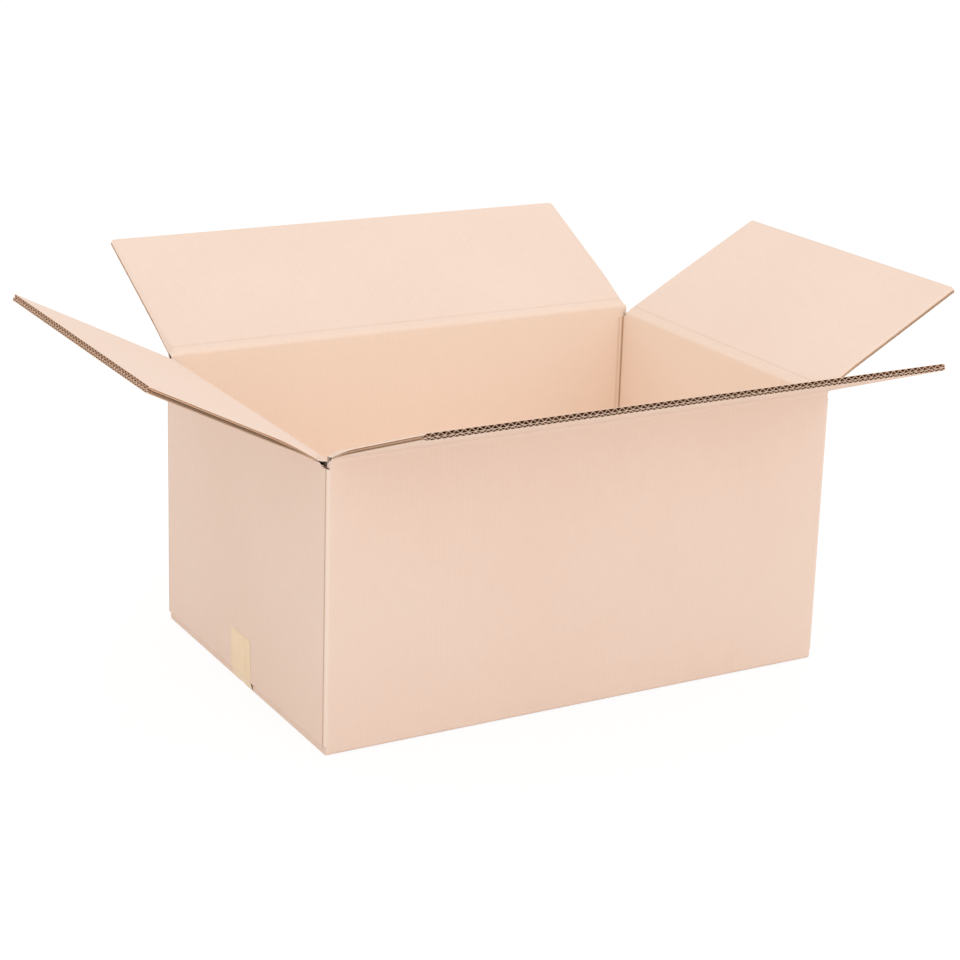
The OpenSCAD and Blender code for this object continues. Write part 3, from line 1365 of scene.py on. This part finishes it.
@dataclass
class Studio:
    """White studio: camera, lamps, world and floor."""

    eye: tuple = (-1.2357, -2.1387, 1.0025)
    azimuth: float = 29.656
    elevation: float = 15.939
    roll: float = 1.758
    focal_px: float = 2352.8
    frame_px: float = 960.0
    shift_y: float = -0.1
    sensor_mm: float = 36.0
    world_light: float = 0.95
    world_seen: float = 1.0
    floor_size: float = 8.0
    floor_drop: float = 0.05 * MM
    floor_glow: float = 1.06
    floor_glow_share: float = 0.82

    def add_camera(self) -> None:
        """Stands the camera where the photograph was taken from."""
        data = bpy.data.cameras.new("studio_camera")
        data.sensor_width = self.sensor_mm
        data.lens = self.focal_px * self.sensor_mm / self.frame_px
        data.shift_y = self.shift_y
        data.clip_start, data.clip_end = 0.05, 50
        camera = bpy.data.objects.new("studio_camera", data)
        bpy.context.scene.collection.objects.link(camera)
        azimuth, elevation = math.radians(self.azimuth), math.radians(self.elevation)
        level = math.cos(elevation)
        forward = Vector((math.sin(azimuth) * level, math.cos(azimuth) * level, -math.sin(elevation)))
        turn = forward.to_track_quat("-Z", "Y").to_matrix().to_4x4()
        roll = Matrix.Rotation(math.radians(self.roll), 4, "Z")
        camera.matrix_world = Matrix.Translation(self.eye) @ turn @ roll
        bpy.context.scene.camera = camera

    def seen_directly(self, bench: NodeBench) -> bpy.types.NodeSocket:
        """Factor that is 1 for camera, glossy and transmission rays."""
        path = bench.add("LightPath")
        seen = bench.math("MAXIMUM", path.outputs["Is Camera Ray"], path.outputs["Is Glossy Ray"])
        return bench.math("MAXIMUM", seen, path.outputs["Is Transmission Ray"])

    def add_world(self) -> None:
        """Makes a world that looks white and lights the box evenly."""
        world = bpy.data.worlds.new("studio_world")
        bpy.context.scene.world = world
        world.use_nodes = True
        bench = NodeBench(world.node_tree)
        back = world.node_tree.nodes["Background"]
        strength = bench.add("MapRange")
        strength.inputs["To Min"].default_value = self.world_light
        strength.inputs["To Max"].default_value = self.world_seen
        bench.join(self.seen_directly(bench), strength.inputs["Value"])
        back.inputs["Color"].default_value = (1, 1, 1, 1)
        bench.join(strength.outputs[0], back.inputs["Strength"])

    def add_floor(self) -> None:
        """Lays a white floor that keeps a light shadow."""
        bm = bmesh.new()
        bmesh.ops.create_grid(bm, x_segments=2, y_segments=2, size=self.floor_size)
        bmesh.ops.translate(bm, verts=bm.verts[:], vec=(0, 0, -self.floor_drop))
        mat = bpy.data.materials.new("studio_floor")
        mat.use_nodes = True
        bench = NodeBench(mat.node_tree)
        shader = mat.node_tree.nodes["Principled BSDF"]
        shader.inputs["Base Color"].default_value = (0.9, 0.9, 0.9, 1)
        shader.inputs["Roughness"].default_value = 0.9
        glow = bench.add("Emission")
        glow.inputs["Strength"].default_value = self.floor_glow
        blend = bench.add("MixShader")
        seen = bench.share(self.seen_directly(bench), self.floor_glow_share)
        bench.join(seen, blend.inputs[0])
        bench.join(shader.outputs[0], blend.inputs[1])
        bench.join(glow.outputs[0], blend.inputs[2])
        bench.join(blend.outputs[0], mat.node_tree.nodes["Material Output"].inputs["Surface"])
        floor = finish_mesh("studio_floor", bm, [mat])

    def build(self) -> None:
        """Sets up the whole studio."""
        bpy.context.scene.view_settings.view_transform = "Standard"
        self.add_camera()
        self.add_world()
        self.add_floor()
        for lamp in LAMPS:
            lamp.build()


@dataclass
class ShippingBox:
    """The whole box: finishes, flaps, folds, bottom edges and tape."""

    frame: dict
    board: Board

    OUTSIDE = (0.867, 0.665, 0.549)
    INSIDE = (0.863, 0.675, 0.564)
    # Brighter copy of the inner paper for the faces inside the walls: painted light.
    INSIDE_WALL_PAINTED_LIGHT = (0.95, 0.79, 0.665)
    DARK = (0.50, 0.31, 0.19)
    LIGHT = (0.92, 0.77, 0.67)
    CELL_EDGE = (0.82, 0.54, 0.36)
    # Painted shade deep inside the flute cells; also the dark grain colour of the side edges.
    CELL_SHADE_AND_GRAIN = (0.34, 0.145, 0.06)
    CUT = (0.85, 0.62, 0.46)
    SIDE_CUT = (0.55, 0.36, 0.235)
    # Near-black painted shade for the open flutes of the slot cut edges and wall tops.
    SLOT_CUT_PAINTED_SHADE = (0.17, 0.10, 0.06)
    FINE_SHOW = 0.5
    COARSE_SHOW = 0.6
    SLOT_DEPTH = 10 * MM
    SHORT_BOARD_Z = 7.5 * MM
    STRIP_INSET = 0.1 * MM
    BOWS = {Side.FRONT: -0.5 * MM, Side.REAR: -0.5 * MM, Side.LEFT: 0.6 * MM, Side.RIGHT: 0.6 * MM}
    KEPT = {Side.FRONT: 0.55, Side.REAR: 0.4, Side.LEFT: 0.8, Side.RIGHT: 0.45}

    def finishes(self) -> dict:
        """Makes every paper.

        Returns:
            Materials by name.
        """
        groups = {"paper": paper_group(), "flutes": flute_group()}
        b = self.board
        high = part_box("box_body")[1]
        shell = Shell(high[0], high[1], b.thickness, high[2] - self.SLOT_DEPTH)
        shades = (self.DARK, self.LIGHT)
        outer = (self.OUTSIDE, *shades, b.fine_pitch, self.FINE_SHOW)
        inner = (self.INSIDE, *shades, b.coarse_pitch, self.COARSE_SHOW)
        # wall holds the inner wall colour with painted light, cut the painted shade of the slot cut edges.
        wall, cut = self.INSIDE_WALL_PAINTED_LIGHT, self.SLOT_CUT_PAINTED_SHADE
        papers: list = [
            PaperFinish("wall_kraft", *outer, inside=wall, cut=cut, shell=shell),
            CellFinish("cell_kraft_painted_shade", self.CELL_EDGE, self.CELL_SHADE_AND_GRAIN),
            PaperFinish("cut_kraft", self.CUT, *shades, flute_show=0.0),
            PaperFinish("side_kraft", self.SIDE_CUT, self.CELL_SHADE_AND_GRAIN, self.CUT, flute_show=0.0),
        ]
        for label, by_y in (("long", False), ("short", True)):
            papers.append(PaperFinish(f"inside_{label}", *inner, by_y, inside=wall))
            papers.append(PaperFinish(f"outside_{label}", *outer, by_y))
        return {p.name: p.material(groups) for p in papers}

    def dress_node(self, node: str, material: bpy.types.Material) -> None:
        """Puts a material on every slot of a CAD node.

        Args:
            node: Name of the node.
            material: The material.
        """
        piece = self.frame["nodes"][node]
        if not piece.material_slots:
            piece.data.materials.append(material)
        for slot in piece.material_slots:
            slot.material = material

    def build(self) -> None:
        """Builds every piece."""
        layout = Layout.from_frame(self.frame)
        paper = self.finishes()
        self.dress_node("box_body", paper["wall_kraft"])
        edges = [paper["cell_kraft_painted_shade"], paper["cut_kraft"], paper["side_kraft"]]
        for side in Side:
            label = "long" if side.is_long else "short"
            slots = [paper[f"inside_{label}"], paper[f"outside_{label}"], *edges]
            kept, length = self.KEPT[side], flap_span(side) - 2 * self.STRIP_INSET
            TopFlap(side, layout, self.board, self.BOWS[side], kept).build(slots)
            for shape, material in ((INNER_FOLD, slots[0]), (OUTER_FOLD, slots[1])):
                FoldedLiner(side, layout, self.board, length, shape, kept).build(material)
        edge_slots = [paper["inside_short"], paper["outside_short"], *edges]
        span, reach = flap_span(Side.LEFT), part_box("box_body")[1][0] - FLAP_DEPTH
        for sign in (-1, 1):
            BottomEdge(sign, self.board, self.SHORT_BOARD_Z, span, reach).build(edge_slots)
        TapeStrip().build(TapeFinish().material())


def main() -> None:
    """Builds the box and the studio."""
    logging.basicConfig(level=logging.INFO, format="%(message)s")
    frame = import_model()
    Studio().build()
    ShippingBox(frame, Board()).build()


if __name__ == "__main__":
    main()
